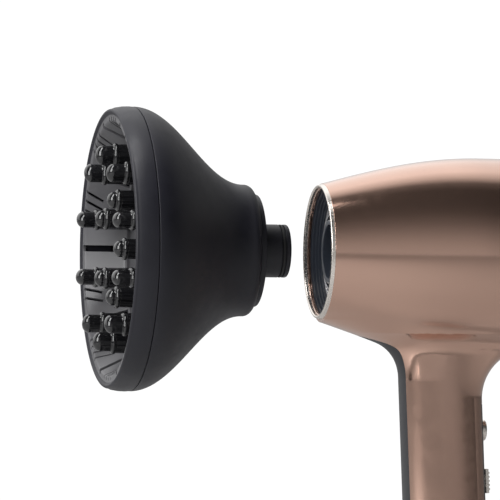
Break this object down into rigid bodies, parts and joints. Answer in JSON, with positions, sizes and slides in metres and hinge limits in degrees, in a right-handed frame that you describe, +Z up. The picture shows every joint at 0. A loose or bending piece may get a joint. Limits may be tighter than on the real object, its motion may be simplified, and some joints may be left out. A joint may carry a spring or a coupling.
{
  "type": "hair dryer",
  "caption": "Pistol-grip hair dryer with a barrel, stepped outlet grille, slide switches and a push-on bell diffuser with a ring of fingers, shown pulled off the nose.",
  "frame": {"origin": "centre of the air outlet, in the plane of the nose", "axes": "-X out of the nose towards the diffuser, +X along the barrel to the inlet, +Z up, the handle hangs along -Z"},
  "size_m": [0.2923, 0.14, 0.2789],
  "materials": {
    "soft_black": "soft-touch matt",
    "satin_grey": "satin",
    "gloss_black": "high gloss",
    "seal_rubber": "matt",
    "bronze": "metallic lacquer, high gloss",
    "charcoal": "fine texture",
    "champagne_chrome": "polished",
    "slate": "satin, heat-resistant",
    "black_rubber": "matt",
    "mica": "flaky, satin",
    "nichrome": "oxidised",
    "steel": "zinc-plated",
    "natural_plastic": "moulded",
    "inner_black": "moulded",
    "ferrite": "sintered",
    "bronze_bush": "sintered",
    "copper": "wound wire",
    "filter_mesh": "woven mesh",
    "board": "solder mask",
    "capacitor": "moulded",
    "red_lead": "silicone",
    "white_lead": "silicone"
  },
  "bodies": {
    "housing": {"housing_left": "bronze", "housing_right": "bronze", "handle_front_strip": "charcoal", "switch_panel": "charcoal", "handle_end_cap": "charcoal", "hang_loop": "charcoal", "cord_gland": "black_rubber", "cord_clamp": "natural_plastic", "clamp_screws": "steel", "housing_screws": "steel", "nose_ring": "champagne_chrome", "outlet_sleeve": "slate", "outlet_grille": "slate", "heater_tube": "mica", "heater_frame": "mica", "heater_coils": "nichrome", "thermostat": "natural_plastic", "thermal_fuse": "steel", "ion_module": "inner_black", "fan_shroud": "inner_black", "motor_can": "steel", "motor_end_cap": "natural_plastic", "motor_magnets": "ferrite", "brushes": "ferrite", "front_bearing": "bronze_bush", "rear_bearing": "bronze_bush", "motor_damper": "black_rubber", "rear_ring": "champagne_chrome", "control_board": "board", "filter_capacitor": "capacitor", "rectifier_diodes": "inner_black", "speed_switch": "natural_plastic", "heat_switch": "natural_plastic", "cool_switch": "natural_plastic", "cool_spring": "steel", "motor_leads": "red_lead", "heater_leads": "white_lead"},
    "diffuser": {"diffuser_bell": "soft_black", "diffuser_rim": "soft_black", "diffuser_floor": "satin_grey", "outer_fingers": "gloss_black", "inner_fingers": "gloss_black", "diffuser_plug": "soft_black", "plug_seal": "seal_rubber"},
    "rotor": {"motor_shaft": "steel", "armature": "copper", "commutator": "copper", "impeller": "inner_black"},
    "inlet": {"rear_cover": "charcoal", "inlet_filter": "filter_mesh", "filter_frame": "inner_black"},
    "speed": {"speed_slider": "champagne_chrome"},
    "heat": {"heat_slider": "champagne_chrome"},
    "cool": {"cool_button": "champagne_chrome"}
  },
  "joints": [
    {"name": "diffuser_push", "type": "slide", "parent": "housing", "child": "diffuser", "axis": [1, 0, 0], "range_m": [-0.12, 0.035]},
    {"name": "fan_spin", "type": "hinge", "parent": "housing", "child": "rotor", "pos_m": [0.12, 0, 0], "axis": [1, 0, 0], "continuous": true},
    {"name": "inlet_pull", "type": "slide", "parent": "housing", "child": "inlet", "axis": [1, 0, 0], "range_m": [0, 0.05]},
    {"name": "speed_slide", "type": "slide", "parent": "housing", "child": "speed", "axis": [-0.0499, 0, 0.9988], "range_m": [0, 0.006]},
    {"name": "heat_slide", "type": "slide", "parent": "housing", "child": "heat", "axis": [-0.0499, 0, 0.9988], "range_m": [0, 0.006]},
    {"name": "cool_press", "type": "slide", "parent": "housing", "child": "cool", "axis": [-1, 0, 0], "range_m": [0, 0.002], "stiffness_N_per_m": 400, "springref_m": -0.001, "deforming": ["cool_spring"]}
  ]
}
